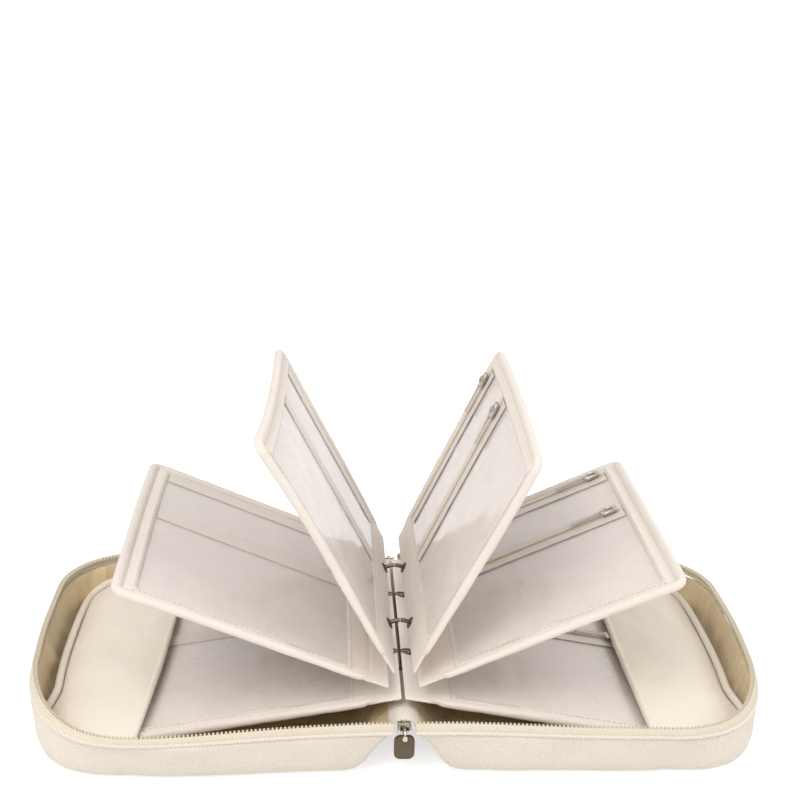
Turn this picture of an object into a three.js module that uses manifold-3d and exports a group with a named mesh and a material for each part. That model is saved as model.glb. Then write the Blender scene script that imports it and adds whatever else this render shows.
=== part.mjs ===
// Travel jewelry organizer: a soft clamshell case that opens flat like a book, with six clear
// pocket pages threaded on two rings at the spine. Millimetres, +Z up, +X to the right, +Y away
// from the front. The origin is on the ground, midway between the covers and the two ends.
import * as THREE from 'three';
import { mergeVertices } from 'three/addons/utils/BufferGeometryUtils.js';
import Module from 'manifold-3d';

const wasm = await Module();
wasm.setup();

// Gap left between pieces that touch
const fitGap = 0.3;

// A page reaches this far from the middle of the rings, and the covers leave room round it
const pageReach = 140;
const coverRoom = 45;

// Covers: two soft trays that meet at their rims when the case is shut
const coverReach = pageReach + coverRoom;
const coverHalfDepth = 87.4;
const nearCorner = 60;
const farCorner = 42;
const spineCorner = 4;
const shellHeight = 26.8;
const wall = 3;
const hingeOffset = 3.3;
const hingeHeight = 29;

// Zip tape standing on the rim of each cover, with the teeth along its inner top edge
const tapeHeight = 4.4;
const tapeThickness = 1.6;
const tapeInset = 0.7;
const teethWidth = 1.1;
const teethHeight = 1.4;

// Flap panel at the outer side of each cover, lying on the floor of the tray
const flapOverPage = 19;
const flapDepth = 47;
const flapMouth = pageReach - flapOverPage;
const flapSeam = flapMouth + flapDepth;
const flapThickness = 3.7;
const flapClearance = 1.5;

// Spine strip, ring rail and the two rings
const spineThickness = 3.4;
const spineSetback = 8.4;
const spineHalfDepth = coverHalfDepth - spineSetback;
const railThickness = 1.9;
const railOverhang = 8;
const ringRadius = 10;
const wireRadius = 1.1;
const ringSpacing = 58.6;
const ringParting = 1;
const ringFootGap = 7;

// Pages: six alike, fanned round the middle of the rings
const pageHalfLength = 72;
const pageThickness = 4.2;
const pageRoot = 2.6;
const pageCorner = 7;
const pageRound = 1.2;
const pagePitch = 3.12;
const restAngles = [190, 157.5, 117.7, 65.2, 25, -10];
const stripThickness = 1.2;
const stripEnd = 15;
const holePlay = 0.8;
const foldGap = 0.5;

// Borders of a page round its two clear pockets
const borderSpine = 11;
const borderOuter = 11.5;
const borderSide = 8;
const sheetThickness = 1.8;
const pocketDepth = 1;
const pocketSeam = 2;
const slitWidth = 1.5;

// Page zips and their sliders
const midZipY = 14;
const farZipY = 60;
const zipTapeHalf = 7;
const zipTapeThickness = 0.5;
const zipTeethWidth = 2.6;
const zipTeethHeight = 0.8;
const sliderLength = 8;
const sliderWidth = 6.5;
const sliderHeight = 2;
const sliderSetback = 2.5;
const pullLength = 18;
const pullWidth = 3.4;
const pullThickness = 0.8;
const pullHole = 0.9;

// Main sliders under the two ends of the spine, each with a ring and a leather tab
const mainSliderWidth = 6.2;
const mainSliderHeight = 4.5;
const mainSliderBody = 3.2;
const mainSliderArm = 1;
const crossBar = 0.9;
const pullRingRadius = 2.7;
const pullRingWire = 0.6;
const pullRingDrop = 1.4;
const pullBall = 1.4;
const tabWidth = 9.5;
const tabLength = 12;
const tabThickness = 2;
const tabCorner = 3;

const rimTop = shellHeight + fitGap + tapeHeight;
const spineTop = hingeHeight + 2 * fitGap - 0.2;
const railTop = spineTop + fitGap + railThickness;
const ringCentre = railTop + fitGap + wireRadius + ringRadius;
const ringPlaces = [['near', -ringSpacing / 2], ['far', ringSpacing / 2]];

const material = (color, roughness, metalness = 0) =>
  new THREE.MeshStandardMaterial({ color, roughness, metalness });
const looks = {
  canvas: material(0xebe2cd, 0.85),
  panel: material(0xeee3c8, 0.7),
  tape: material(0xe4d6c8, 0.75),
  page: material(0xeee0d6, 0.75),
  clear: material(0xd8d8dc, 0.15),
  nickel: material(0xb9b4aa, 0.3, 1),
  ring: material(0x8a7768, 0.35, 1),
  leather: material(0x5c4a2c, 0.6),
};

const organizer = new THREE.Group();

// Turns a closed geometry into a solid that can be cut and joined
function solid(geometry) {
  const bare = geometry.clone();
  bare.deleteAttribute('normal');
  bare.deleteAttribute('uv');
  const merged = mergeVertices(bare, 1e-4);
  return new wasm.Manifold(new wasm.Mesh({
    numProp: 3,
    vertProperties: new Float32Array(merged.attributes.position.array),
    triVerts: new Uint32Array(merged.index.array),
  }));
}

function geometryOf(body) {
  const mesh = body.getMesh();
  const geometry = new THREE.BufferGeometry();
  geometry.setAttribute('position', new THREE.BufferAttribute(mesh.vertProperties, 3));
  geometry.setIndex(new THREE.BufferAttribute(mesh.triVerts, 1));
  return geometry;
}

function addPiece(parent, name, shape, look) {
  const geometry = shape.isBufferGeometry ? shape : geometryOf(shape);
  const piece = new THREE.Mesh(geometry, look.clone());
  piece.name = name;
  parent.add(piece);
}

function block(low, high) {
  const size = high.map((value, i) => value - low[i]);
  const middle = high.map((value, i) => (value + low[i]) / 2);
  return solid(new THREE.BoxGeometry(...size).translate(...middle));
}

function roundedRect(x0, x1, y0, y1, radius) {
  const shape = new THREE.Shape();
  shape.moveTo(x0 + radius, y0);
  shape.absarc(x1 - radius, y0 + radius, radius, -Math.PI / 2, 0);
  shape.absarc(x1 - radius, y1 - radius, radius, 0, Math.PI / 2);
  shape.absarc(x0 + radius, y1 - radius, radius, Math.PI / 2, Math.PI);
  shape.absarc(x0 + radius, y0 + radius, radius, Math.PI, 1.5 * Math.PI);
  return shape;
}

// A plate from z = bottom upward, with its edges rounded off by an optional bevel
function plate(shape, bottom, thickness, round = 0, curveSegments = 3) {
  const geometry = new THREE.ExtrudeGeometry(shape, {
    depth: thickness - 2 * round,
    bevelEnabled: round > 0,
    bevelThickness: round,
    bevelSize: round,
    bevelOffset: -round,
    bevelSegments: 2,
    curveSegments,
  });
  return geometry.translate(0, 0, bottom + round);
}

// Points of an arc in plan, from one turn to another, counted in quarter turns
function arc(x, y, radius, from, to, steps) {
  return Array.from({ length: steps + 1 }, (_, i) => {
    const turn = (Math.PI / 2) * (from + ((to - from) * i) / steps);
    return [x + radius * Math.cos(turn), y + radius * Math.sin(turn)];
  });
}

const mirrored = (points) => points.map(([x, y]) => [x, -y]).reverse();

// The near and the far outer corner of the right cover, drawn inward by an inset
function outerCorners(inset, nearRadius, farRadius) {
  const corner = (radius) =>
    arc(coverReach - inset - radius, inset + radius - coverHalfDepth, radius, -1, 0, 8);
  return corner(nearRadius).concat(mirrored(corner(farRadius)));
}

// The plan outline of the right cover drawn inward by an inset
function coverOutline(inset, spineEdge) {
  const half = coverHalfDepth - inset;
  const outer = outerCorners(inset, nearCorner - inset / 2, farCorner - inset / 2);
  const inner = arc(spineEdge + spineCorner, spineCorner - half, spineCorner, -2, -1, 3);
  return inner.concat(outer, mirrored(inner));
}

// A closed body through a chain of rings of points, capped at both ends
function loft(rings, side) {
  const count = rings[0].points.length;
  const positions = rings.flatMap(({ z, points }) => points.flatMap(([x, y]) => [side * x, y, z]));
  const faces = [];
  const face = (a, b, c) => faces.push(...(side > 0 ? [a, b, c] : [a, c, b]));
  for (let ring = 0; ring + 1 < rings.length; ring += 1) {
    for (let i = 0; i < count; i += 1) {
      const a = ring * count + i;
      const b = ring * count + ((i + 1) % count);
      face(a, b, b + count);
      face(a, b + count, a + count);
    }
  }
  const last = (rings.length - 1) * count;
  for (let i = 1; i + 1 < count; i += 1) {
    face(0, i + 1, i);
    face(last, last + i, last + i + 1);
  }
  const geometry = new THREE.BufferGeometry();
  geometry.setAttribute('position', new THREE.Float32BufferAttribute(positions, 3));
  geometry.setIndex(faces);
  return geometry;
}

// Each cover is a tray whose spine side slopes in from the hinge to the ground, which leaves
// the notch under the open spine. Levels are shares of the shell's height.
const spineEdge = hingeOffset + 0.2;
const coverLevels = [
  { share: 0, inset: 11, spine: spineEdge + 22.5 },
  { share: 0.11, inset: 6, spine: spineEdge + 18 },
  { share: 0.3, inset: 3.5, spine: spineEdge + 13.5 },
  { share: 0.6, inset: 1.8, spine: spineEdge + 8.5 },
  { share: 1, inset: 0, spine: spineEdge },
];

function coverTray(side) {
  const outer = coverLevels.map(({ share, inset, spine }) => ({
    z: shellHeight * share,
    points: coverOutline(inset, spine),
  }));
  const inner = coverLevels.map(({ share, inset, spine }) => ({
    z: wall + (shellHeight - wall) * share,
    points: coverOutline(inset + wall, spine + wall),
  }));
  return loft(outer.concat(inner.reverse()), side);
}

// A band that stands on the rim along its three free sides
function rimBand(side, insetOut, thickness, bottom, height) {
  const along = (inset) => {
    const half = coverHalfDepth - inset;
    const start = spineEdge + tapeThickness;
    const corners = outerCorners(inset, nearCorner - inset, farCorner - inset);
    return [[start, -half]].concat(corners, [[start, half]]);
  };
  const plan = along(insetOut).concat(along(insetOut + thickness).reverse());
  const shape = new THREE.Shape(plan.map(([x, y]) => new THREE.Vector2(side * x, y)));
  return solid(plate(shape, bottom, height));
}

function rimZip(side) {
  const bottom = rimTop - tapeHeight;
  const tape = rimBand(side, tapeInset, tapeThickness, bottom, tapeHeight);
  const teethWide = teethWidth + fitGap;
  const teethInset = tapeInset + tapeThickness - fitGap;
  return tape.add(rimBand(side, teethInset, teethWide, rimTop - teethHeight, teethHeight));
}

// The flap panel follows the rounded outer corners of the tray's floor
function flapPanel(side) {
  const inset = coverLevels[0].inset + flapClearance;
  const tighter = coverLevels[0].inset / 2;
  const half = coverHalfDepth - inset;
  const corners = outerCorners(inset, nearCorner - tighter, farCorner - tighter);
  const plan = [[flapMouth / 2, -half]].concat(corners, [[flapMouth / 2, half]]);
  const shape = new THREE.Shape(plan.map(([x, y]) => new THREE.Vector2(side * x, y)));
  const floor = wall + fitGap;
  const inward = [flapMouth, -coverHalfDepth, 0];
  const outward = [flapSeam, coverHalfDepth, shellHeight];
  const low = side > 0 ? inward : [-flapSeam, -coverHalfDepth, 0];
  const high = side > 0 ? outward : [-flapMouth, coverHalfDepth, shellHeight];
  return solid(plate(shape, floor, flapThickness, 1.2)).intersect(block(low, high));
}

for (const [name, side] of [['left', -1], ['right', 1]]) {
  addPiece(organizer, `${name}_shell`, coverTray(side), looks.canvas);
  addPiece(organizer, `${name}_zip_tape`, rimZip(side), looks.tape);
  addPiece(organizer, `${name}_flap`, flapPanel(side), looks.panel);
}

// Spine strip that joins the covers, with the ring rail on top of it
const spineHalfWidth = spineEdge - fitGap - 0.1;
const railHalfWidth = spineHalfWidth - fitGap;
const railHalfLength = ringSpacing / 2 + railOverhang;
addPiece(organizer, 'spine_panel', block(
  [-spineHalfWidth, -spineHalfDepth, spineTop - spineThickness],
  [spineHalfWidth, spineHalfDepth, spineTop],
), looks.canvas);
addPiece(organizer, 'ring_rail', block(
  [-railHalfWidth, -railHalfLength, railTop - railThickness],
  [railHalfWidth, railHalfLength, railTop],
), looks.ring);

// Half of a ring, from its top parting round to its foot at the rail
class HalfRing extends THREE.Curve {
  constructor(from, to, y) {
    super();
    this.from = THREE.MathUtils.degToRad(from);
    this.to = THREE.MathUtils.degToRad(to);
    this.y = y;
  }

  getPoint(t, target = new THREE.Vector3()) {
    const turn = this.from + (this.to - this.from) * t;
    return target.set(ringRadius * Math.cos(turn), this.y, ringCentre + ringRadius * Math.sin(turn));
  }
}

function wire(curve) {
  const section = new THREE.Shape().absarc(0, 0, wireRadius, 0, 2 * Math.PI);
  return new THREE.ExtrudeGeometry(section, { extrudePath: curve, steps: 16, curveSegments: 5 });
}

for (const [place, y] of ringPlaces) {
  const left = new HalfRing(90 + ringParting, 270 - ringFootGap, y);
  const right = new HalfRing(90 - ringParting, -90 + ringFootGap, y);
  addPiece(organizer, `ring_${place}_left`, wire(left), looks.ring);
  addPiece(organizer, `ring_${place}_right`, wire(right), looks.ring);
}

// The binding strip of a page. A page that lies off the ring's middle is crossed at a slant,
// so its holes are longer along the page.
function bindingStrip(offset) {
  const reach = Math.sqrt(ringRadius ** 2 - offset ** 2);
  const slant = Math.abs(offset) / reach;
  const halfHole = (stripThickness / 2) * slant + (wireRadius * ringRadius) / reach + holePlay;
  const inner = reach - halfHole - 0.8;
  const half = pageHalfLength - 1;
  const strip = roundedRect(inner, stripEnd, -half, half, 0.6);
  for (const [, y] of ringPlaces) {
    const hole = new THREE.Path().absellipse(reach, y, halfHole, wireRadius + holePlay, 0, 2 * Math.PI);
    strip.holes.push(hole);
  }
  return plate(strip, offset - stripThickness / 2, stripThickness, 0, 6);
}

const frameStart = stripEnd + foldGap;
const windowStart = frameStart + borderSpine;
const windowEnd = pageReach - borderOuter;
const windowHalf = pageHalfLength - borderSide;
const sheetStart = windowStart + fitGap;
const sheetEnd = windowEnd - fitGap;
const sheetHalf = windowHalf - fitGap;

// The cloth frame is thin where it is folded at the strip and grows to its full thickness
function pageFrame(offset) {
  const edge = roundedRect(frameStart, pageReach, -pageHalfLength, pageHalfLength, pageCorner);
  const body = solid(plate(edge, offset - pageThickness / 2, pageThickness, pageRound));
  const full = frameStart + 4 * borderSpine;
  const beyond = pageReach + pageThickness;
  const taper = new THREE.Shape([
    [frameStart - 1, -pageRoot / 2], [full, -pageThickness / 2], [beyond, -pageThickness / 2],
    [beyond, pageThickness / 2], [full, pageThickness / 2], [frameStart - 1, pageRoot / 2],
  ].map(([x, z]) => new THREE.Vector2(x, z)));
  const wedge = plate(taper, -pageHalfLength - 1, 2 * pageHalfLength + 2);
  wedge.rotateX(Math.PI / 2).translate(0, 0, offset);
  const window = block([windowStart, -windowHalf, offset - pageThickness],
    [windowEnd, windowHalf, offset + pageThickness]);
  return body.intersect(solid(wedge)).subtract(window);
}

// Two clear sheets sewn together into a near and a far pocket, each entered through a slit
// that its zip closes
function clearPockets(offset) {
  const halfSheet = sheetThickness / 2;
  const halfRoom = pocketDepth / 2;
  let body = block([sheetStart, -sheetHalf, offset - halfSheet], [sheetEnd, sheetHalf, offset + halfSheet]);
  for (const [y0, y1] of [[pocketSeam - sheetHalf, midZipY], [midZipY + pocketSeam, farZipY]]) {
    const x0 = sheetStart + pocketSeam;
    const x1 = sheetEnd - pocketSeam;
    body = body.subtract(block([x0, y0, offset - halfRoom], [x1, y1, offset + halfRoom]));
    body = body.subtract(block([x0, y1 - slitWidth, offset], [x1, y1, offset + sheetThickness]));
  }
  return body;
}

const zipBottom = sheetThickness / 2 + fitGap;
const zipTop = zipBottom + zipTapeThickness + zipTeethHeight;

function pageZip(offset, y, farEdge) {
  const tapeTop = offset + zipBottom + zipTapeThickness;
  const tape = block([sheetStart, y - zipTapeHalf, offset + zipBottom], [sheetEnd, farEdge, tapeTop]);
  const teeth = block([sheetStart, y - zipTeethWidth / 2, offset + zipBottom],
    [sheetEnd, y + zipTeethWidth / 2, offset + zipTop]);
  return tape.add(teeth);
}

// A slider at the outer end of its zip, with its pull lying back along the zip
function pageSlider(offset, y) {
  const bottom = offset + zipTop + fitGap;
  const end = sheetEnd - sliderSetback;
  const start = end - sliderLength;
  const body = roundedRect(start, end, y - sliderWidth / 2, y + sliderWidth / 2, 1.5);
  const pull = roundedRect(start - pullLength, end - sliderLength / 2, y - pullWidth / 2, y + pullWidth / 2, 1);
  pull.holes.push(new THREE.Path().absarc(start - pullLength + 2 * pullHole, y, pullHole, 0, 2 * Math.PI));
  const pullBottom = bottom + (sliderHeight - pullThickness) / 2;
  return solid(plate(body, bottom, sliderHeight)).add(solid(plate(pull, pullBottom, pullThickness)));
}

restAngles.forEach((angle, index) => {
  const name = `page_${index + 1}`;
  const offset = ((restAngles.length - 1) / 2 - index) * pagePitch;
  const leaf = new THREE.Group();
  leaf.position.set(0, 0, ringCentre);
  leaf.rotation.y = -THREE.MathUtils.degToRad(angle);
  organizer.add(leaf);
  addPiece(leaf, `${name}_strip`, bindingStrip(offset), looks.page);
  addPiece(leaf, `${name}_frame`, pageFrame(offset), looks.page);
  addPiece(leaf, `${name}_pockets`, clearPockets(offset), looks.clear);
  addPiece(leaf, `${name}_zip_mid`, pageZip(offset, midZipY, midZipY + zipTapeHalf), looks.tape);
  addPiece(leaf, `${name}_zip_far`, pageZip(offset, farZipY, sheetHalf), looks.tape);
  addPiece(leaf, `${name}_slider_mid`, pageSlider(offset, midZipY), looks.nickel);
  addPiece(leaf, `${name}_slider_far`, pageSlider(offset, farZipY), looks.nickel);
});

// Main sliders, parked at the two ends of the spine where the rim zip stops
const mainSliderStart = spineHalfDepth + fitGap;
const mainSliderTop = hingeHeight - fitGap;
const forkStart = mainSliderStart + mainSliderBody;
const pullAxisY = forkStart + fitGap + pullRingRadius + pullRingWire + 0.4;
const pullAxisZ = mainSliderTop - crossBar - fitGap;

// A body with two arms, and a bar between them that the pull ring hangs on
function mainSlider(end) {
  const across = (y0, y1) => [Math.min(end * y0, end * y1), Math.max(end * y0, end * y1)];
  const half = mainSliderWidth / 2;
  const tip = pullAxisY + crossBar / 2;
  const [y0, y1] = across(mainSliderStart, tip);
  const [f0, f1] = across(forkStart, tip + 1);
  const [b0, b1] = across(pullAxisY - crossBar / 2, tip);
  const low = mainSliderTop - mainSliderHeight;
  const body = block([-half, y0, low], [half, y1, mainSliderTop]);
  const fork = block([mainSliderArm - half, f0, low - 1], [half - mainSliderArm, f1, mainSliderTop + 1]);
  const bar = block([-half, b0, pullAxisZ - crossBar / 2], [half, b1, pullAxisZ + crossBar / 2]);
  const under = block([-half - 1, f0, low - 1], [half + 1, f1, pullAxisZ - crossBar / 2 - fitGap]);
  return body.subtract(fork).subtract(under).add(bar);
}

// A ring that hangs in the slider's eye, with a small ball on its outer side
function mainPull(end) {
  const centre = [0, end * pullAxisY, pullAxisZ - pullRingDrop];
  const loop = new THREE.TorusGeometry(pullRingRadius, pullRingWire, 6, 18).rotateY(Math.PI / 2);
  const ball = new THREE.SphereGeometry(pullBall, 10, 8);
  ball.translate(0, end * (pullRingRadius + pullBall / 2), 0);
  return solid(loop).add(solid(ball)).translate(centre);
}

// The leather tab hangs from the foot of the ring
function mainTab(end) {
  const hole = pullRingWire + fitGap + 0.1;
  const holeZ = pullAxisZ - pullRingDrop - pullRingRadius;
  const top = 2 * hole;
  const tab = roundedRect(-tabWidth / 2, tabWidth / 2, top - tabLength, top, tabCorner);
  tab.holes.push(new THREE.Path().absarc(0, 0, hole, 0, 2 * Math.PI));
  const leather = plate(tab, -tabThickness / 2, tabThickness, 0, 4).rotateX(Math.PI / 2);
  return leather.translate(0, end * pullAxisY, holeZ);
}

for (const [place, end] of [['near', -1], ['far', 1]]) {
  addPiece(organizer, `main_slider_${place}`, mainSlider(end), looks.nickel);
  addPiece(organizer, `main_pull_${place}`, mainPull(end), looks.nickel);
  addPiece(organizer, `main_tab_${place}`, mainTab(end), looks.leather);
}

export default organizer;
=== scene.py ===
import math

import bpy
import numpy as np
from mathutils import Matrix, Vector, noise


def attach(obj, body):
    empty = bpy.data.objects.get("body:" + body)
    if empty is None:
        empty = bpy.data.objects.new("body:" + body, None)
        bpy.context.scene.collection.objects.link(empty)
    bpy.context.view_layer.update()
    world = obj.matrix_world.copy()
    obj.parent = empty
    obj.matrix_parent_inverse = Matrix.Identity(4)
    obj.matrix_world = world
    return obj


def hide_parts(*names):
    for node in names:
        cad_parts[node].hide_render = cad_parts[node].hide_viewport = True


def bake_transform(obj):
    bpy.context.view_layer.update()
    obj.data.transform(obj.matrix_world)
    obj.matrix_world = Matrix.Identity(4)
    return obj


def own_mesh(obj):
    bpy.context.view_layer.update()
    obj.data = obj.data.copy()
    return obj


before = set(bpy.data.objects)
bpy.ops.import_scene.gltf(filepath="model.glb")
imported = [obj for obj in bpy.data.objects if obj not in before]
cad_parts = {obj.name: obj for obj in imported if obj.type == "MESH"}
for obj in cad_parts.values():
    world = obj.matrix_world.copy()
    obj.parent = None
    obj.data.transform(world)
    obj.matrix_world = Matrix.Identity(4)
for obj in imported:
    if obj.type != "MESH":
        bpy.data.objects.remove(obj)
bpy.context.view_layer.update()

# The two covers. Each is a soft tray of padded cream twill over a thin stiffener, whose
# near wall sags while the case lies open, and it is lined with tan satin that is cut a
# little long, so it lies in small folds round the inside of the wall.
MM = 0.001
RIM_TOP = 31.5 * MM
SAG_MIDDLE = 110 * MM
SAG_SPREAD = 52 * MM
SAG_DEPTH = 4.2 * MM
SAG_OUT = 4.0 * MM
RIGHT_SAG = 0.35
DIP_AT = (165 * MM, -78 * MM)
DIP_AREA = 2000 * MM ** 2
DIP_DEPTH = 2.6 * MM
DIP_OUT = 1.2 * MM
DRAWN_AT = (185 * MM, -50 * MM)
DRAWN_AREA = 1600 * MM ** 2
DRAWN_IN = 4.2 * MM
UNEVEN = 0.45 * MM
FOOT_CENTRE = (125 * MM, -27.4 * MM)
FOOT_RADIUS = 50 * MM
FOOT_OUT = 10 * MM


def pick(piece):
    bpy.ops.object.select_all(action="DESELECT")
    piece.select_set(True)
    bpy.context.view_layer.objects.active = piece
    return piece


def points_of(piece):
    co = np.empty(len(piece.data.vertices) * 3)
    piece.data.vertices.foreach_get("co", co)
    return co.reshape(-1, 3)


def move_points(piece, co):
    piece.data.vertices.foreach_set("co", np.ascontiguousarray(co, dtype=float).ravel())
    piece.data.update()


def finish_with(piece, kind, **settings):
    pick(piece)
    step = piece.modifiers.new(kind, kind)
    for name, value in settings.items():
        setattr(step, name, value)
    bpy.ops.object.modifier_apply(modifier=step.name)


def in_edit(piece, *steps):
    pick(piece)
    bpy.ops.object.mode_set(mode="EDIT")
    bpy.ops.mesh.select_all(action="SELECT")
    for step in steps:
        step()
    bpy.ops.object.mode_set(mode="OBJECT")


def copy_of_node(node, name):
    piece = bpy.data.objects.new(name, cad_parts[node].data.copy())
    bpy.context.collection.objects.link(piece)
    piece.data.materials.clear()
    in_edit(piece, lambda: bpy.ops.mesh.remove_doubles(threshold=1e-6))
    return piece


def soft_copy(node, name, voxel, smoothing):
    piece = copy_of_node(node, name)
    finish_with(piece, "REMESH", mode="VOXEL", voxel_size=voxel)
    finish_with(piece, "SMOOTH", factor=0.5, iterations=smoothing)
    return piece


def rounded(piece, angle=40):
    pick(piece)
    bpy.ops.object.shade_smooth_by_angle(angle=math.radians(angle))
    return piece


def wavy(co, scale, seed):
    return np.array([noise.noise(Vector(p) * scale + Vector((seed, seed, seed))) for p in co])


def settle(co):
    """How the soft walls hang: the near rim sags, and its corners are drawn in over a squarer foot."""
    x, y = np.abs(co[:, 0]), co[:, 1]
    height = np.clip(co[:, 2] / RIM_TOP, 0, 1)
    near = np.clip((-y - 25 * MM) / (55 * MM), 0, 1) ** 2
    sag = near * np.exp(-((x - SAG_MIDDLE) / SAG_SPREAD) ** 2) * np.where(co[:, 0] < 0, 1, RIGHT_SAG)
    dip = np.exp(-((x - DIP_AT[0]) ** 2 + (y - DIP_AT[1]) ** 2) / DIP_AREA)
    drawn = np.exp(-((x - DRAWN_AT[0]) ** 2 + (y - DRAWN_AT[1]) ** 2) / DRAWN_AREA)
    uneven = np.sin(co[:, 0] * 55 + 0.7) * np.cos(co[:, 1] * 43)
    away = np.clip(x / (30 * MM), 0, 1)
    arm_x = x - FOOT_CENTRE[0]
    arm_y = y - FOOT_CENTRE[1]
    arm = np.maximum(np.hypot(arm_x, arm_y), 1 * MM)
    diagonal = np.clip(arm_x, 0, None) * np.clip(-arm_y, 0, None) * 2 / arm ** 2
    foot = diagonal ** 1.5 * (1 - height) ** 0.8 * FOOT_OUT * np.clip(arm / FOOT_RADIUS, 0, 1) ** 3
    co[:, 0] += np.sign(co[:, 0]) * (foot * arm_x / arm - drawn * DRAWN_IN)
    co[:, 1] += foot * arm_y / arm - away * (sag * SAG_OUT + height ** 2 * DIP_OUT * dip)
    co[:, 2] -= height ** 2 * away * (DIP_DEPTH * dip + UNEVEN * uneven + SAG_DEPTH * sag)
    return co


def linear(red, green, blue):
    tone = lambda c: c / 12.92 if c <= 0.04045 else ((c + 0.055) / 1.055) ** 2.4
    return tuple(tone(c / 255) for c in (red, green, blue))


class Field:
    """A value that changes over a surface. Sums and products of fields add Math nodes."""

    def __init__(self, finish, socket):
        self.finish = finish
        self.socket = socket

    def _with(self, operation, first, second):
        return self.finish.node("ShaderNodeMath", {"operation": operation}, {0: first, 1: second})

    def __add__(self, other):
        return self._with("ADD", self, other)

    def __sub__(self, other):
        return self._with("SUBTRACT", self, other)

    def __mul__(self, other):
        return self._with("MULTIPLY", self, other)

    def sine(self):
        return self._with("SINE", self, 0)

    def larger(self, other):
        return self._with("MAXIMUM", self, other)


class Finish:
    """One material: a Principled shader and the fields that vary over it."""

    def __init__(self, name, color, roughness, metallic=0.0, **sockets):
        self.material = bpy.data.materials.new(name)
        self.material.use_nodes = True
        self.tree = self.material.node_tree
        self.shader = self.tree.nodes["Principled BSDF"]
        self.color = linear(*color)
        self.shader.inputs["Base Color"].default_value = (*self.color, 1)
        self.shader.inputs["Roughness"].default_value = roughness
        self.shader.inputs["Metallic"].default_value = metallic
        for socket, value in sockets.items():
            self.shader.inputs[socket.replace("_", " ").title()].default_value = value
        self.place = self.node("ShaderNodeTexCoord", {}, {}, "Object")

    def node(self, kind, settings, inputs, output=0):
        made = self.tree.nodes.new(kind)
        for name, value in settings.items():
            setattr(made, name, value)
        for name, value in inputs.items():
            if isinstance(value, Field):
                self.tree.links.new(value.socket, made.inputs[name])
            else:
                made.inputs[name].default_value = value
        return Field(self, made.outputs[output])

    def stretched(self, scale):
        return self.node("ShaderNodeMapping", {}, {"Vector": self.place, "Scale": scale})

    def clouds(self, scale, detail=3, stretch=(1, 1, 1)):
        return self.node("ShaderNodeTexNoise", {}, {
            "Vector": self.stretched(stretch), "Scale": scale, "Detail": detail})

    def axes(self):
        return [self.node("ShaderNodeSeparateXYZ", {}, {0: self.place}, i) for i in range(3)]

    def tint(self, amount, color):
        here = self.shader.inputs["Base Color"]
        first = Field(self, here.links[0].from_socket) if here.links else (*self.color, 1)
        mixed = self.node("ShaderNodeMix", {"data_type": "RGBA"}, {
            0: amount, 6: first, 7: (*linear(*color), 1)}, 2)
        self.tree.links.new(mixed.socket, here)

    def relief(self, height, depth):
        bump = {"Height": height, "Distance": depth}
        before = self.shader.inputs["Normal"]
        if before.links:
            bump["Normal"] = Field(self, before.links[0].from_socket)
        raised = self.node("ShaderNodeBump", {}, bump)
        self.tree.links.new(raised.socket, before)

    def vary(self, socket, field):
        self.tree.links.new(field.socket, self.shader.inputs[socket])


def dress(piece, *finishes):
    piece.data.materials.clear()
    for finish in finishes:
        piece.data.materials.append(finish.material)
    return piece


def twill(finish, pitch, depth):
    x, y, z = finish.axes()
    turn = 2 * math.pi / pitch
    rib = ((x + y * 0.6 + z * 1.1) * turn).sine()
    thread = ((x - y * 0.8 - z * 0.9) * (turn * 1.4)).sine()
    finish.relief(rib * 0.7 + thread * 0.3, depth)
    return rib


canvas = Finish("cream_twill", (226, 216, 202), 0.86, sheen_weight=0.25, sheen_roughness=0.5)
canvas_rib = twill(canvas, 1.9 * MM, 0.16 * MM)
canvas.tint(canvas_rib * 0.22 + 0.2, (207, 194, 175))
canvas.tint(canvas.clouds(26) * 0.5, (233, 225, 212))
canvas.relief(canvas.clouds(38, 2), 2.2 * MM)

satin = Finish("tan_satin_lining", (224, 206, 168), 0.5, sheen_weight=0.3, sheen_roughness=0.35)
# The darker tan streaks are painted shade: the lining's colour in shadow, stretched upright like the shade
# in its folds.
satin.tint(satin.clouds(30, 4, (1, 1, 0.35)) * 0.9, (200, 174, 132))
satin.relief(satin.clouds(60, 3, (1.6, 1.6, 0.3)), 4.2 * MM)
twill(satin, 0.9 * MM, 0.05 * MM)

for side, way in (("left", -1), ("right", 1)):
    cover = soft_copy(f"{side}_shell", f"{side}_cover_cloth", 1.7 * MM, 5)
    co = points_of(cover)
    centre = np.array([way * 95 * MM, 0, 60 * MM])
    normals = np.array([v.normal for v in cover.data.vertices])
    inward = np.sum(normals * (centre - co), axis=1) > 0
    low = co[:, 2] < 1.0 * MM
    soft = np.clip(co[:, 2] / (8 * MM), 0, 1) * np.clip((RIM_TOP - co[:, 2]) / (9 * MM), 0, 1)
    co += normals * ((wavy(co, 26, 3.1) * 1.6 + wavy(co, 75, 8.3) * 0.5) * MM * soft * ~low)[:, None]
    folds = wavy(co * np.array([1, 1, 0.25]), 95, 5.7) * 1.5 * MM
    co += normals * (folds * soft * inward)[:, None]
    move_points(cover, settle(co))
    dress(cover, canvas, satin)
    face_inward = [f.normal.dot(Vector(centre) - f.center) > 0 and f.center.z > 2 * MM
                   for f in cover.data.polygons]
    cover.data.polygons.foreach_set("material_index", np.array(face_inward, dtype=np.int32))
    cover.data.update()
    rounded(cover, 60)
    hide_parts(f"{side}_shell")
    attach(cover, f"{side}_cover")

# The rim zips. A woven tape stands on the edge of each cover along its three free
# sides, bound at its foot with a thin cord, and carries a row of small moulded teeth.
TAPE_FOOT = 26.9 * MM
TAPE_HEIGHT = 4.4 * MM
TAPE_THICKNESS = 1.3 * MM
TOOTH_LEVEL = 30.6 * MM
TOOTH_PITCH = 1.9 * MM
COVER_REACH = 185 * MM
COVER_HALF = 87.4 * MM
NEAR_CORNER = 60 * MM
FAR_CORNER = 42 * MM
RIM_START = 5.1 * MM


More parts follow.
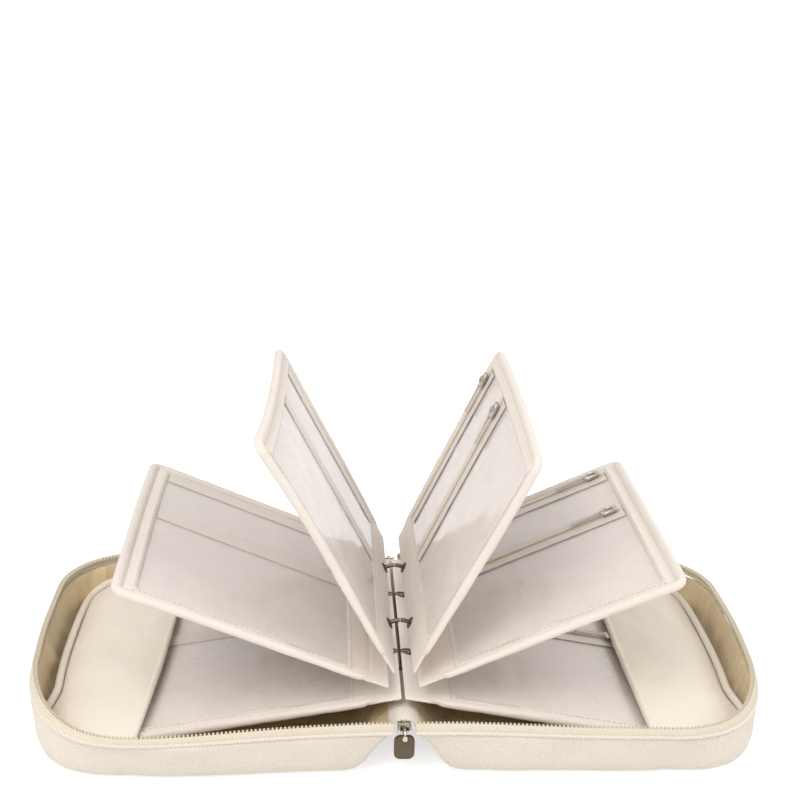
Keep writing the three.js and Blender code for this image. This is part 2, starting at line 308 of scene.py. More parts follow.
def rim_path(way, inset, spacing):
    """Points along the rim at an even spacing, with the way inward at each."""
    def half_of(rim_corner, end):
        radius = rim_corner - inset
        middle = Vector((COVER_REACH - rim_corner, rim_corner - COVER_HALF))
        line = [(Vector((RIM_START + (middle.x - RIM_START) * t, inset - COVER_HALF)), Vector((0, 1)))
                for t in np.linspace(0, 1, 40, endpoint=False)]
        for turn in np.linspace(-math.pi / 2, 0, 30):
            outward = Vector((math.cos(turn), math.sin(turn)))
            line.append((middle + outward * radius, -outward))
        return [(Vector((p.x, p.y * end)), Vector((n.x, n.y * end))) for p, n in line]

    middle_of_end = (Vector((COVER_REACH - inset, 0)), Vector((-1, 0)))
    track = half_of(NEAR_CORNER, 1) + [middle_of_end] + half_of(FAR_CORNER, -1)[::-1]
    lengths = np.cumsum([0] + [(b[0] - a[0]).length for a, b in zip(track, track[1:])])
    wanted = np.linspace(0, lengths[-1], max(2, int(lengths[-1] / spacing)))
    columns = [np.interp(wanted, lengths, [pair[k][i] for pair in track]) for k in (0, 1) for i in (0, 1)]
    place = np.stack([columns[0] * way, columns[1], np.zeros_like(wanted)], 1)
    inward = np.stack([columns[2] * way, columns[3], np.zeros_like(wanted)], 1)
    return place, inward / np.linalg.norm(inward, axis=1)[:, None]


def sheet_over(name, along, across, shape, thickness):
    """A strip of cloth: a flat grid whose points are laid where shape(u, v) says."""
    bpy.ops.object.select_all(action="DESELECT")
    bpy.ops.mesh.primitive_grid_add(x_subdivisions=along, y_subdivisions=across, size=1)
    piece = bpy.context.object
    piece.name = name
    flat = points_of(piece)
    move_points(piece, shape(flat[:, 0] + 0.5, flat[:, 1] + 0.5))
    finish_with(piece, "SOLIDIFY", thickness=thickness, offset=0)
    in_edit(piece, lambda: bpy.ops.mesh.normals_make_consistent(inside=False))
    return rounded(piece, 60)


def tube(name, path, radius, closed=False, sides=4):
    """A cord or wire along a chain of points."""
    bpy.ops.object.select_all(action="DESELECT")
    bpy.ops.curve.primitive_nurbs_path_add()
    piece = bpy.context.object
    piece.name = name
    piece.data.splines.clear()
    line = piece.data.splines.new("POLY")
    line.points.add(len(path) - 1)
    line.points.foreach_set("co", np.hstack([path, np.ones((len(path), 1))]).ravel())
    line.use_cyclic_u = closed
    piece.data.dimensions = "3D"
    piece.data.bevel_depth = radius
    piece.data.bevel_resolution = sides
    piece.data.use_fill_caps = True
    bpy.ops.object.convert(target="MESH")
    piece = bpy.context.object
    in_edit(piece, lambda: bpy.ops.mesh.remove_doubles(threshold=1e-6),
            lambda: bpy.ops.mesh.normals_make_consistent(inside=False))
    return rounded(piece, 60)


def small_block(size, bevel, segments=1):
    bpy.ops.object.select_all(action="DESELECT")
    bpy.ops.mesh.primitive_cube_add(size=1)
    piece = bpy.context.object
    move_points(piece, points_of(piece) * np.array(size))
    finish_with(piece, "BEVEL", width=bevel, segments=segments)
    return piece


def repeated(name, pattern, matrices):
    """Many copies of one small form, as one mesh. The pattern is used up."""
    co = points_of(pattern)
    faces = [tuple(f.vertices) for f in pattern.data.polygons]
    mesh = bpy.data.meshes.new(name)
    verts = []
    polys = []
    for matrix in matrices:
        turn = np.array(matrix)
        polys += [tuple(i + len(verts) for i in face) for face in faces]
        verts += list(map(tuple, co @ turn[:3, :3].T + turn[:3, 3]))
    mesh.from_pydata(verts, [], polys)
    piece = bpy.data.objects.new(name, mesh)
    bpy.context.collection.objects.link(piece)
    bpy.data.objects.remove(pattern)
    return rounded(piece, 50)


def stand(place, ahead, up):
    """A matrix at a place, its first axis ahead and its third up."""
    x = Vector(ahead).normalized()
    z = Vector(up).normalized()
    y = z.cross(x)
    turn = Matrix((x, y, z)).transposed().to_4x4()
    return Matrix.Translation(Vector(place)) @ turn


tape_cloth = Finish("cream_zip_tape", (221, 210, 190), 0.8, sheen_weight=0.2)
tape_x, tape_y, _ = tape_cloth.axes()
tape_rib = ((tape_x + tape_y) * (2 * math.pi / (1.1 * MM))).sine()
tape_cloth.relief(tape_rib, 0.12 * MM)
tape_cloth.tint(tape_rib * 0.2 + 0.25, (201, 187, 160))
tape_cloth.tint(tape_cloth.clouds(45) * 0.35, (233, 224, 205))

moulded = Finish("cream_moulded_teeth", (211, 199, 178), 0.42)
moulded.tint(moulded.clouds(220) * 0.5, (192, 178, 154))
moulded.relief(moulded.clouds(700), 0.05 * MM)

for side, way in (("left", -1), ("right", 1)):
    path, inward = rim_path(way, 1.0 * MM, 2.2 * MM)
    rise = np.array([0, 0, 1])

    def band(u, v):
        i = np.round(u * (len(path) - 1)).astype(int)
        bow = (1 - (2 * v - 1) ** 2) * -0.35 * MM + v ** 2 * 0.7 * MM
        return settle(path[i] + inward[i] * bow[:, None] + rise * (TAPE_FOOT + v[:, None] * TAPE_HEIGHT))

    tape = sheet_over(f"{side}_rim_tape", len(path) - 1, 8, band, TAPE_THICKNESS)
    dress(tape, tape_cloth)
    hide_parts(f"{side}_zip_tape")
    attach(tape, f"{side}_cover")

    binding_line = settle(path - inward * 0.2 * MM + rise * TAPE_FOOT)
    binding = tube(f"{side}_rim_cord", binding_line, 1.15 * MM)
    dress(binding, canvas)
    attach(binding, f"{side}_cover")

    path, inward = rim_path(way, 2.9 * MM, TOOTH_PITCH)
    ahead = np.gradient(path, axis=0)
    seat = settle(path + rise * TOOTH_LEVEL)
    tooth = small_block((1.15 * MM, 1.5 * MM, 1.5 * MM), 0.3 * MM)
    teeth = repeated(f"{side}_rim_teeth", tooth, [stand(p, a, rise) for p, a in zip(seat, ahead)])
    dress(teeth, moulded)
    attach(teeth, f"{side}_cover")

# The flap pockets. A padded cream panel is sewn into the outer end of each cover with a
# piping cord round three sides; its rolled mouth stands a little open, and the end of
# the outermost page is tucked under it.
MOUTH = 121.5 * MM
SEAM = 171.5 * MM
FLAP_HALF = 80.2 * MM
FLAP_CROWN = 19.6 * MM
FLAP_THICKNESS = 2.4 * MM
MOST_SWELL = 0.9 * MM
HEM_R = 1.7 * MM
PIPING_R = 1.9 * MM


def flap_edge(x, v):
    """How far the flap reaches to each side of its middle: it follows the round corners."""
    halves = []
    for rim_corner in (NEAR_CORNER, FAR_CORNER):
        radius = rim_corner - 2 * MM
        middle = COVER_REACH - 4.8 * MM - radius
        over = np.clip(np.abs(x) - middle, 0, radius * 0.995)
        halves.append(FLAP_HALF - radius + np.sqrt(radius ** 2 - over ** 2))
    return np.where(v < 0.5, halves[0], halves[1])


def flap_height(u, v):
    """Height over the ground at u from mouth to seam and v from near to far."""
    crown = FLAP_CROWN - 1.6 * MM * u - 8.6 * MM * u ** 5
    ends = np.abs(2 * v - 1) ** 7
    return crown - ends * 3.5 * MM * (1 - u)


def flap_shape(way, lift):
    """Where the points of a flap lie, or of what is sewn to it at some lift over its middle."""
    def shape(u, v):
        x = MOUTH + (SEAM - MOUTH) * u - 2 * MM * (1 - u) ** 3 * (1 - (2 * v - 1) ** 2)
        if way < 0:
            x = x + 6 * MM * (1 - u) * (1 - v) ** 2
        y = (2 * v - 1) * flap_edge(x, v)
        z = flap_height(u, v) + lift
        edge = np.minimum.reduce([u + 0.12, 1 - u, 1 - np.abs(2 * v - 1) ** 6]).clip(0, 1)
        flat = np.stack([x * way, y, z], 1)
        puff = wavy(flat, 42, 2.2) * 2.2 * MM + wavy(flat, 110, 6.4) * 0.5 * MM
        flat[:, 2] += puff * edge ** 0.5
        return settle(flat)
    return shape


quilted = Finish("cream_panel_cloth", (240, 231, 217), 0.62, sheen_weight=0.4, sheen_roughness=0.35)
quilted.tint(quilted.clouds(24, 3) * 0.8, (229, 216, 197))
quilted.relief(quilted.clouds(46, 3, (1, 0.55, 1)), 1.8 * MM)
twill(quilted, 0.8 * MM, 0.05 * MM)

for side, way in (("left", -1), ("right", 1)):
    flap = sheet_over(f"{side}_flap_panel", 36, 96, flap_shape(way, 0), FLAP_THICKNESS)
    pick(flap)
    push = flap.modifiers.new("Cloth", "CLOTH")
    push.settings.use_pressure = True
    push.settings.uniform_pressure_force = 3.0
    push.settings.quality = 5
    push.settings.effector_weights.gravity = 0
    before = points_of(flap)
    for step in range(1, 9):
        bpy.context.scene.frame_set(step)
    bpy.ops.object.modifier_apply(modifier=push.name)
    moved = points_of(flap) - before
    size = np.linalg.norm(moved, axis=1)[:, None]
    moved *= np.minimum(1, MOST_SWELL / np.maximum(size, 1e-9))
    move_points(flap, before + moved)
    bpy.context.scene.frame_set(1)
    dress(flap, quilted)
    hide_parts(f"{side}_flap")
    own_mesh(flap)
    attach(flap, f"{side}_cover")

    span = np.linspace(0, 1, 60)
    hem_line = flap_shape(way, 0)(np.zeros(60), span) + np.array([way * -0.6 * MM, 0, 0])
    hem = tube(f"{side}_flap_hem", hem_line, HEM_R)
    dress(hem, quilted)
    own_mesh(hem)
    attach(hem, f"{side}_cover")

    near_side = np.stack([np.linspace(0, 1, 24), np.zeros(24)], 1)
    end_side = np.stack([np.ones(60), span], 1)
    far_side = near_side[::-1] + np.array([0, 1])
    line = np.vstack([near_side[:-1], end_side, far_side[1:]])
    piping_line = flap_shape(way, 2.2 * MM)(line[:, 0], line[:, 1])
    out = np.clip((np.abs(piping_line[:, 0]) - 150 * MM) / (20 * MM), 0, 1)
    piping_line[:, 0] += way * 1.6 * MM * out * (1 - (2 * line[:, 1] - 1) ** 6)
    piping_line[:, 2] += 1.5 * MM * out
    piping = tube(f"{side}_flap_piping", piping_line, PIPING_R)
    dress(piping, quilted)
    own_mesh(piping)
    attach(piping, f"{side}_cover")

# The spine. A narrow twill strip joins the covers and folds along both of its edges, and
# a flat metal rail for the rings lies on top of it.
FOLD_LEVEL = 29 * MM
FOLD_HALF = 80 * MM
for side, way in (("left", -1), ("right", 1)):
    def fold(u, v, way=way):
        x = (1.2 + 5.6 * u) * MM
        y = (2 * v - 1) * FOLD_HALF
        z = (29.2 - 3.4 * u ** 2) * MM + wavy(np.stack([x, y, 0 * x], 1), 90, 4) * 0.25 * MM
        return np.stack([x * way, y, z], 1)

    hinge_cloth = sheet_over(f"{side}_spine_fold", 10, 90, fold, 0.5 * MM)
    dress(hinge_cloth, canvas)
    start = (way * 2.4 * MM, 0, FOLD_LEVEL)
    end = (way * 4.6 * MM, 0, FOLD_LEVEL)
    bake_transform(hinge_cloth)

spine = soft_copy("spine_panel", "spine_cloth", 1.1 * MM, 3)
dress(rounded(spine, 60), canvas)
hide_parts("spine_panel")
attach(spine, "spine")

# A dark brownish nickel, darker still in random cloudy patches.
brownish_nickel = Finish("darkened_nickel", (134, 118, 104), 0.32, metallic=1.0)
brownish_nickel.tint(brownish_nickel.clouds(160, 4) * 0.8, (92, 78, 66))
brownish_nickel.vary("Roughness", brownish_nickel.clouds(240) * 0.3 + 0.2)
brownish_nickel.relief(brownish_nickel.clouds(900), 0.02 * MM)

rail = copy_of_node("ring_rail", "ring_rail_plate")
finish_with(rail, "BEVEL", width=0.35 * MM, segments=3)
dress(rounded(rail), brownish_nickel)
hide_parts("ring_rail")
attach(rail, "spine")

# The two rings. Each is a pair of round steel wires that spring together at the top and
# are held in the rail at their feet.
RING_Z = 43 * MM
RING_R = 10 * MM
RING_Y = 29.3 * MM
WIRE_R = 1.1 * MM
for place, y in (("near", -RING_Y), ("far", RING_Y)):
    for side, start, end in (("left", 91, 263), ("right", 89, -83)):
        turns = np.radians(np.linspace(start, end, 48))
        arc_line = np.stack([RING_R * np.cos(turns), np.full(48, y), RING_Z + RING_R * np.sin(turns)], 1)
        half_ring = tube(f"ring_wire_{place}_{side}", arc_line, WIRE_R, sides=5)
        dress(half_ring, brownish_nickel)
        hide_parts(f"ring_{place}_{side}")
        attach(half_ring, f"rings_{side}")

# The pages. Each is a pinkish white cloth frame, padded and bound at its edges, round an
# opaque lining with a clear sheet on its back and two zipped pockets of clear sheet on
# its front. It hangs on the rings by a stiffened strip with two eyelets.
PITCH = 3.12 * MM
REST = (190, 157.5, 117.7, 65.2, 25, -10)
HALF_LONG = 72 * MM
REACH = 140 * MM
WINDOW = (26.5 * MM, 128.5 * MM, 64 * MM)
MID_ZIP = 14 * MM
FAR_ZIP = 60 * MM
HALF_TAPE = 7 * MM
HALF_BAND = 5 * MM
SHEET_END = WINDOW[2] - 0.1 * MM
NEAR_SHEET_TOP = MID_ZIP - HALF_BAND
FAR_SHEET_FOOT = MID_ZIP + HALF_BAND
FAR_SHEET_TOP = FAR_ZIP - 4 * MM
TAPE_END = WINDOW[2] - 0.3 * MM
UNDER_FRAME = 1.2 * MM
FRONT_LEVEL = 0.75 * MM
BACK_LEVEL = -0.6 * MM
TAPE_LEVEL = 1.45 * MM
BACK_BAND_LEVEL = -1.0 * MM
STRIP_HALF = 0.6 * MM
HOLE_PLAY = 0.9 * MM
EYELET_R = 0.42 * MM

page_cloth = Finish("pinkish_page_cloth", (231, 221, 211), 0.72, sheen_weight=0.3, sheen_roughness=0.4)
page_cloth.tint(page_cloth.clouds(32, 3) * 0.6, (219, 207, 196))
twill(page_cloth, 1.0 * MM, 0.07 * MM)
page_cloth.relief(page_cloth.clouds(85, 3), 0.9 * MM)

seam_thread = Finish("seam_thread", (214, 200, 184), 0.6)
seam_thread.relief(seam_thread.clouds(1500), 0.05 * MM)
seam_thread.tint(seam_thread.clouds(400) * 0.5, (196, 180, 160))

lining = Finish("pinkish_page_lining", (226, 217, 211), 0.66, sheen_weight=0.2)
lining.tint(lining.clouds(26, 3) * 0.7, (235, 228, 223))
lining.relief(lining.clouds(50, 3), 1.4 * MM)

page_tape = Finish("pinkish_page_tape", (224, 215, 206), 0.7, sheen_weight=0.2)
page_tape.tint(page_tape.clouds(60) * 0.5, (211, 200, 190))
twill(page_tape, 1.1 * MM, 0.08 * MM)

clear = Finish("clear_sheet", (246, 238, 232), 0.16, alpha=0.2, coat_weight=1.0, coat_roughness=0.05)
haze = clear.clouds(28, 4)
clear.vary("Alpha", haze * 0.4 + 0.08)
clear.relief(clear.clouds(34, 2), 1.6 * MM)
clear.material.surface_render_method = "DITHERED"

nickel = Finish("bright_nickel", (196, 190, 180), 0.22, metallic=1.0)
nickel.vary("Roughness", nickel.clouds(260, 3) * 0.25 + 0.12)
nickel.tint(nickel.clouds(180, 3) * 0.6, (160, 150, 136))


def page_matrix(k):
    turn = Matrix.Rotation(-math.radians(REST[k]), 4, "Y")
    return Matrix.Translation((0, 0, RING_Z)) @ turn @ Matrix.Translation((0, 0, (2.5 - k) * PITCH))


# How much each page is curled, and how far its far and near outer corners lean, in mm.
CURL = (0.0, 1.6, 3.4, -1.5, 1.4, 0.0)
FAR_PULL = (0.0, 4.4, -4.1, -6.7, 0.0, 0.0)
NEAR_PULL = (0.0, 2.4, -0.6, -13.8, 0.0, 0.0)
FAR_BEND = (0.0, 0.0, 0.0, 0.2, 0.0, 0.0)
NEAR_BEND = (0.0, 0.0, 0.0, -4.0, 0.0, 0.0)


def bow(co, k):
    """How a page lies, in its own flat directions: slack, curled and leaning at its outer corners."""
    s = np.clip((co[:, 0] - 20 * MM) / (REACH - 20 * MM), 0, 1)
    t = co[:, 1] / HALF_LONG
    near = np.clip(-t, 0, 1) ** 3 * np.clip(s - 0.45, 0, 1) ** 2 * 3.3
    slack = np.sin(s * 2.6 + k) * s * (1 - s) * np.cos(t * 1.7 + k * 0.8)
    co = co.copy()
    lean = 1 if k < 3 else -1
    end = np.clip(co[:, 0] / REACH, 0, 1.1) ** 1.5
    low = np.clip((0.35 - t) / 1.35, 0, 1) ** 1.3
    co[:, 0] += end * (FAR_PULL[k] + (NEAR_PULL[k] - FAR_PULL[k]) * low) * MM
    co[:, 2] += end * (FAR_BEND[k] + (NEAR_BEND[k] - FAR_BEND[k]) * low) * MM
    co[:, 2] += (CURL[k] * near * lean + 0.8 * slack) * MM
    return co


def lay(piece, k):
    """Puts a piece made in a page's own flat place on page k."""
    move_points(piece, bow(points_of(piece), k))
    piece.data.transform(page_matrix(k))
    piece.data.update()
    return piece


def twin(piece, name):
    """A copy with a mesh of its own."""
    copy = bpy.data.objects.new(name, piece.data.copy())
    bpy.context.collection.objects.link(copy)
    return copy


def flat_page():
    """The third page's frame, brought down flat, as the pattern for all six."""
    piece = copy_of_node("page_3_frame", "page_pattern")
    piece.data.transform(page_matrix(2).inverted())
    finish_with(piece, "REMESH", mode="VOXEL", voxel_size=1.05 * MM)
    finish_with(piece, "SMOOTH", factor=0.5, iterations=3)
    co = points_of(piece)
    edge = np.minimum(REACH - co[:, 0], HALF_LONG - np.abs(co[:, 1]))
    thin = 1 - 0.42 * np.clip((edge - 3.2 * MM) / (1.6 * MM), 0, 1)
    seam = 0.5 * np.exp(-((edge - 5.3 * MM) / (0.7 * MM)) ** 2)
    welt = 0.55 * np.exp(-((co[:, 0] - 130.6 * MM) / (1.3 * MM)) ** 2) * (edge > 6 * MM)
    co[:, 2] *= thin - seam + welt
    pucker = wavy(co * np.array([1, 1, 0]), 210, 1.4) * 0.22 * MM
    co[:, 2] += pucker * np.sign(co[:, 2])
    move_points(piece, co)
    return dress(rounded(piece, 60), page_cloth)


def clear_part(name, y0, y1, level, lift, finish=None):
    """One sheet of a page, a little slack between its seams. It is clear if no finish is named."""
    s0, s1, _ = WINDOW
    waves = {1: 0.7, -1: 0.25, 0: 0}[int(np.sign(lift))]

    def shape(u, v):
        s = s0 - UNDER_FRAME + (s1 - s0 + 2 * UNDER_FRAME) * u
        y = y0 + (y1 - y0) * v
        slack = (16 * u * (1 - u) * v * (1 - v)) ** 0.6
        flat = np.stack([s, y, np.full_like(s, level)], 1)
        ripple = wavy(flat, 46, 7 + level * 900) * 0.7 + wavy(flat * np.array([2.6, 0.7, 1]), 60, 3) * 0.35
        flat[:, 2] += (lift + ripple * MM * waves) * slack
        return flat

    return dress(sheet_over(name, 60, 50, shape, 0.22 * MM), finish or clear)


def zip_tape_part(name, y0, y1, level=TAPE_LEVEL):
    """The tape of a zip, or at a lower level the band behind it."""
    s0, s1, _ = WINDOW

    def shape(u, v):
        s = s0 + 0.3 * MM + (s1 - s0 - 0.6 * MM) * u
        y = y0 + (y1 - y0) * v
        flat = np.stack([s, y, np.full_like(s, level)], 1)
        flat[:, 2] += wavy(flat, 120, 2) * 0.16 * MM
        return flat

    return dress(sheet_over(name, 60, 12, shape, 0.45 * MM), page_tape)


def zip_teeth_part(name, y):
    """The closed teeth of a zip, from the two rows in turn."""
    s0, s1, _ = WINDOW
    places = []
    for i, s in enumerate(np.arange(s0 + 1 * MM, s1 - 1 * MM, 0.75 * MM)):
        shift = 0.42 * MM if i % 2 else -0.42 * MM
        places.append(Matrix.Translation((s, y + shift, 2.0 * MM)))
    tooth = small_block((0.6 * MM, 1.7 * MM, 0.95 * MM), 0.18 * MM)
    return dress(repeated(name, tooth, places), moulded)


def zip_slider_part(name, y):
    """The slider on its teeth, its bridge, and the long flat pull lying back along the zip."""
    end = WINDOW[1] - 2.8 * MM
    half_body = 4 * MM
    pull_length = 17 * MM
    body = small_block((2 * half_body, 6.2 * MM, 1.9 * MM), 0.55 * MM, 3)
    co = points_of(body)
    co[:, 1] *= 1 - 0.3 * np.clip(co[:, 0] / half_body, 0, 1) ** 2
    move_points(body, co + np.array([end - half_body, y, 3.75 * MM]))
    turns = np.linspace(0, math.pi, 14)
    arch_line = np.stack([end - half_body + 2.4 * MM * np.cos(turns), np.full(14, y),
                          4.4 * MM + 1.1 * MM * np.sin(turns)], 1)
    arch = tube(name + "_bridge", arch_line, 0.55 * MM)
    pull = small_block((pull_length, 3.1 * MM, 0.75 * MM), 0.3 * MM, 2)
    co = points_of(pull)
    along = co[:, 0] / pull_length + 0.5
    co[:, 1] *= 0.62 + 0.5 * np.sin((1 - along) * math.pi * 0.62) ** 2
    move_points(pull, co + np.array([end - 17.5 * MM, y, 4.3 * MM]))
    eye_turns = np.linspace(0, 2 * math.pi, 25)[:-1]
    eye_line = np.stack([end - 7.6 * MM + 2.2 * MM * np.cos(eye_turns), y + 1.5 * MM * np.sin(eye_turns),
                         np.full(24, 4.35 * MM)], 1)
    eye = tube(name + "_eye", eye_line, 0.5 * MM, closed=True)
    pick(body)
    for part in (arch, pull, eye):
        part.select_set(True)
    bpy.ops.object.join()
    body.name = name
    return dress(rounded(body), nickel)


def stitches_part(name):
    """A row of stitches round the window, on each face of the frame."""
    s0, s1, half = WINDOW
    inset = 1.6 * MM
    pitch = 2.7 * MM
    low, high, side = s0 - inset, s1 + inset, half + inset
    places = []
    for face in (-1, 1):
        for s in np.arange(low, high, pitch):
            for y in (-side, side):
                places.append((s, y, face, 0))
        for y in np.arange(-side, side, pitch):
            for s in (low, high):
                places.append((s, y, face, math.pi / 2))
    matrices = []
    for s, y, face, turn in places:
        height = np.interp(s, [15 * MM, 60 * MM], [1.3 * MM, 2.1 * MM]) * 0.6
        spot = Matrix.Translation((s, y, face * height))
        matrices.append(spot @ Matrix.Rotation(turn, 4, "Z"))
    thread = small_block((1.9 * MM, 0.42 * MM, 0.5 * MM), 0.15 * MM)
    return dress(repeated(name, thread, matrices), seam_thread)


patterns = {
    "frame": flat_page(),
    "lining": clear_part("lining", -SHEET_END, SHEET_END, 0, 0, lining),
    "back_sheet": clear_part("back_sheet", -SHEET_END, SHEET_END, BACK_LEVEL, -0.3 * MM),
    "near_sheet": clear_part("near_sheet", -SHEET_END, NEAR_SHEET_TOP, FRONT_LEVEL, 0.5 * MM),
    "far_sheet": clear_part("far_sheet", FAR_SHEET_FOOT, FAR_SHEET_TOP, FRONT_LEVEL, 0.4 * MM),
    "mid_tape": zip_tape_part("mid_tape", MID_ZIP - HALF_TAPE, MID_ZIP + HALF_TAPE),
    "far_tape": zip_tape_part("far_tape", FAR_ZIP - HALF_TAPE, TAPE_END),
    "mid_back": zip_tape_part("mid_back", MID_ZIP - HALF_BAND, MID_ZIP + HALF_BAND, BACK_BAND_LEVEL),
    "far_back": zip_tape_part("far_back", FAR_ZIP - HALF_BAND, TAPE_END, BACK_BAND_LEVEL),
    "mid_teeth": zip_teeth_part("mid_teeth", MID_ZIP),
    "far_teeth": zip_teeth_part("far_teeth", FAR_ZIP),
    "mid_slider": zip_slider_part("mid_slider", MID_ZIP),
    "far_slider": zip_slider_part("far_slider", FAR_ZIP),
    "stitches": stitches_part("stitches"),
}
stands_for = {
    "frame": "frame", "back_sheet": "pockets", "mid_tape": "zip_mid", "far_tape": "zip_far",
    "mid_slider": "slider_mid", "far_slider": "slider_far",
}
sheet_lengths = {
    "lining": 2 * SHEET_END, "back_sheet": 2 * SHEET_END, "near_sheet": NEAR_SHEET_TOP + SHEET_END,
    "far_sheet": FAR_SHEET_TOP - FAR_SHEET_FOOT,
}

for k in range(6):
    number = k + 1
    for part, pattern in patterns.items():
        piece = lay(twin(pattern, f"page_{number}_{part}_made"), k)
        rounded(piece, 50)
        if part in stands_for:
            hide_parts(f"page_{number}_{stands_for[part]}")
        part in sheet_lengths
        body = f"page_{number}"
        if part.endswith("slider"):
            body = f"page_{number}_{part.split('_')[0]}_slider"
        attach(piece, body)

    strip = soft_copy(f"page_{number}_strip", f"page_{number}_strip_made", 0.55 * MM, 2)
    dress(rounded(strip, 60), page_cloth)
    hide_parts(f"page_{number}_strip")
    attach(strip, f"page_{number}")

    offset = (2.5 - k) * PITCH
    reach = math.sqrt(RING_R ** 2 - offset ** 2)
    half_hole = STRIP_HALF * abs(offset) / reach + WIRE_R * RING_R / reach + HOLE_PLAY
    turns = np.linspace(0, 2 * math.pi, 33)[:-1]
    for place, y in (("near", -RING_Y), ("far", RING_Y)):
        for face, level in (("recto", 0.7 * MM), ("verso", -0.7 * MM)):
            rim_line = np.stack([reach + (half_hole + 0.6 * MM) * np.cos(turns),
                                 y + 2.3 * MM * np.sin(turns), np.full(32, level)], 1)
            eyelet = tube(f"page_{number}_eyelet_{place}_{face}", rim_line, EYELET_R, closed=True)
            eyelet.data.transform(page_matrix(k))
            dress(eyelet, brownish_nickel)
            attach(eyelet, f"page_{number}")

    def fold_band(u, v):
        s = (13.2 + 5.2 * u) * MM
        y = (2 * v - 1) * 70.6 * MM
        return np.stack([s, y, 0.15 * MM * np.sin(u * math.pi)], 1)

    fold_cloth = sheet_over(f"page_{number}_fold", 12, 60, fold_band, 1.3 * MM)
    fold_cloth.data.transform(page_matrix(k))
    dress(fold_cloth, page_cloth)
    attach(fold_cloth, f"page_{number}")

for pattern in patterns.values():
    bpy.data.objects.remove(pattern)

# The main sliders wait at the two ends of the spine. A cast body holds a wire ring with
# a small ball, and a leather tab hangs from the ring; its dark olive colour is painted shade.
PULL_Y = 86.5 * MM
PULL_Z = 26.1 * MM
PULL_R = 2.7 * MM
PULL_WIRE_R = 0.6 * MM
BALL_R = 1.4 * MM
BALL_OUT = 3.4 * MM
# The tab's dark olive brown is painted shade, the colour of the deep shadow by the spine, with random
# darker patches.
hide = Finish("dark_olive_leather", (84, 66, 36), 0.5, coat_weight=0.15, coat_roughness=0.4)
grain = hide.node("ShaderNodeTexVoronoi", {}, {"Vector": hide.place, "Scale": 900})
hide.relief(grain, 0.08 * MM)
hide.tint(hide.clouds(140, 4) * 0.8, (58, 44, 24))
hide.vary("Roughness", hide.clouds(300) * 0.3 + 0.38)

for place, way in (("near", -1), ("far", 1)):
    body = copy_of_node(f"main_slider_{place}", f"main_slider_{place}_made")
    finish_with(body, "BEVEL", width=0.35 * MM, segments=3, limit_method="ANGLE")
    dress(rounded(body), nickel)
    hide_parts(f"main_slider_{place}")
    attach(body, "spine")

    hang_y = way * PULL_Y
    turns = np.linspace(0, 2 * math.pi, 41)[:-1]
    loop_line = np.stack([np.zeros(40), hang_y + PULL_R * np.cos(turns),
                          PULL_Z + PULL_R * np.sin(turns)], 1)
    loop = tube(f"main_pull_{place}_made", loop_line, PULL_WIRE_R, closed=True)
    bpy.ops.object.select_all(action="DESELECT")
    bpy.ops.mesh.primitive_uv_sphere_add(segments=24, ring_count=16, radius=BALL_R,
                                         location=(0, hang_y + way * BALL_OUT, PULL_Z))
    ball = bpy.context.object
    bpy.ops.object.transform_apply()
    pick(loop)
    ball.select_set(True)
    bpy.ops.object.join()
    dress(rounded(loop, 60), nickel)
    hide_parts(f"main_pull_{place}")
    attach(loop, f"{place}_pull")

    tab = copy_of_node(f"main_tab_{place}", f"main_tab_{place}_made")
    finish_with(tab, "BEVEL", width=0.5 * MM, segments=3, limit_method="ANGLE")
    dress(rounded(tab), hide)
    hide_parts(f"main_tab_{place}")
    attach(tab, f"{place}_pull")

# The studio: a pale table under the open case, one large soft lamp over the left
# shoulder, a weaker one from the right, and the camera before it, a little above.
bpy.ops.object.select_all(action="DESELECT")
bpy.ops.mesh.primitive_plane_add(size=60, location=(0, 0, -0.0003))
table = bpy.context.object
table.name = "table"
top = Finish("white_table", (236, 236, 236), 0.9)
seen = top.node("ShaderNodeLightPath", {}, {}, "Is Camera Ray")
mirrored = top.node("ShaderNodeLightPath", {}, {}, "Is Glossy Ray")
through = top.node("ShaderNodeLightPath", {}, {}, "Is Transmission Ray")
glow = top.node("ShaderNodeEmission", {}, {"Color": (1, 1, 1, 1), "Strength": 0.6})
none = top.node("ShaderNodeEmission", {}, {"Color": (0, 0, 0, 1), "Strength": 0.0})
lift = top.node("ShaderNodeMixShader", {}, {0: seen.larger(mirrored).larger(through), 1: none, 2: glow})
both = top.node("ShaderNodeAddShader", {}, {0: Field(top, top.shader.outputs[0]), 1: lift})
top.tree.links.new(both.socket, top.tree.nodes["Material Output"].inputs["Surface"])
dress(table, top)

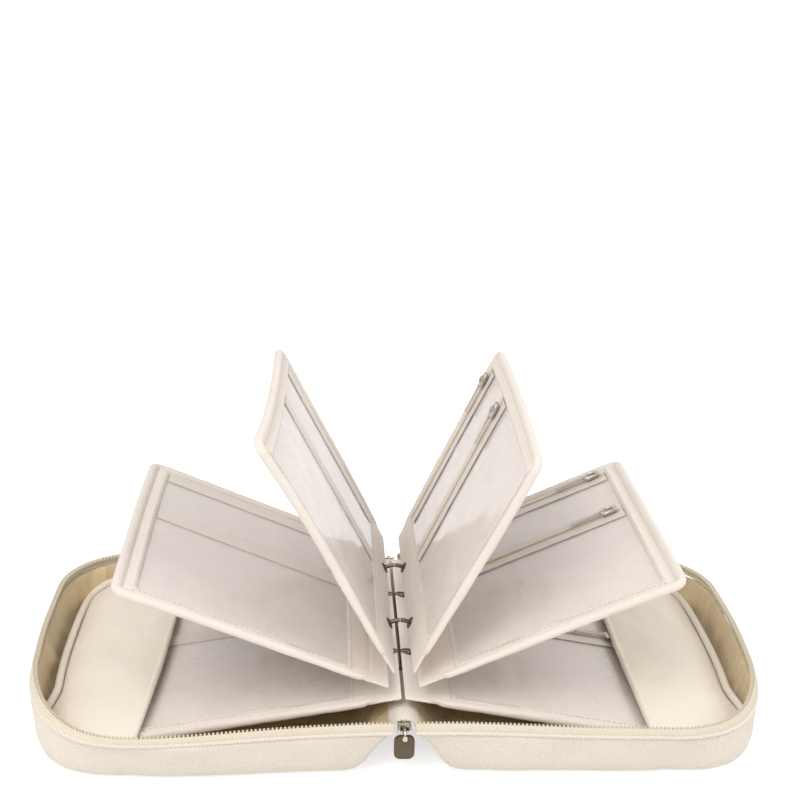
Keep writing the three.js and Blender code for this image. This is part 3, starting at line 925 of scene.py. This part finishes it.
world = bpy.data.worlds.new("studio")
bpy.context.scene.world = world
world.use_nodes = True
sky = world.node_tree
back = sky.nodes["Background"]
back.inputs["Color"].default_value = (1, 1, 1, 1)
rays = sky.nodes.new("ShaderNodeLightPath")
most = None
for name in ("Is Camera Ray", "Is Glossy Ray", "Is Transmission Ray"):
    if most is None:
        most = rays.outputs[name]
        continue
    joined = sky.nodes.new("ShaderNodeMath")
    joined.operation = "MAXIMUM"
    sky.links.new(most, joined.inputs[0])
    sky.links.new(rays.outputs[name], joined.inputs[1])
    most = joined.outputs[0]
level = sky.nodes.new("ShaderNodeMath")
level.operation = "MULTIPLY_ADD"
level.inputs[1].default_value = 0.25
level.inputs[2].default_value = 0.75
sky.links.new(most, level.inputs[0])
sky.links.new(level.outputs[0], back.inputs["Strength"])

for name, place, size, power in (
    ("soft_lamp", (-0.55, -0.75, 1.15), 0.9, 11.0),
    ("fill_lamp", (0.9, -0.35, 0.8), 0.8, 4.5),
):
    lamp = bpy.data.objects.new(name, bpy.data.lights.new(name, "AREA"))
    bpy.context.collection.objects.link(lamp)
    lamp.data.size = size
    lamp.data.energy = power
    lamp.location = place
    lamp.rotation_euler = (Vector((0, 0, 0.05)) - Vector(place)).to_track_quat("-Z", "Y").to_euler()

azimuth = math.radians(-3.61)
elevation = math.radians(19.75)
roll = math.radians(1.95)
target = Vector((-1.96 * MM, 0, 158.53 * MM))
distance = 600 * MM
toward = Vector((math.sin(azimuth) * math.cos(elevation), -math.cos(azimuth) * math.cos(elevation),
                 math.sin(elevation)))
right = Vector((math.cos(azimuth), math.sin(azimuth), 0))
up = toward.cross(right)
camera = bpy.data.objects.new("camera", bpy.data.cameras.new("camera"))
bpy.context.collection.objects.link(camera)
camera.data.sensor_width = 36
camera.data.lens = 55.13
axes = Matrix((math.cos(roll) * right + math.sin(roll) * up,
               -math.sin(roll) * right + math.cos(roll) * up, toward)).transposed().to_4x4()
camera.matrix_world = Matrix.Translation(target + toward * distance) @ axes
bpy.context.scene.camera = camera
bpy.context.scene.view_settings.view_transform = "Standard"
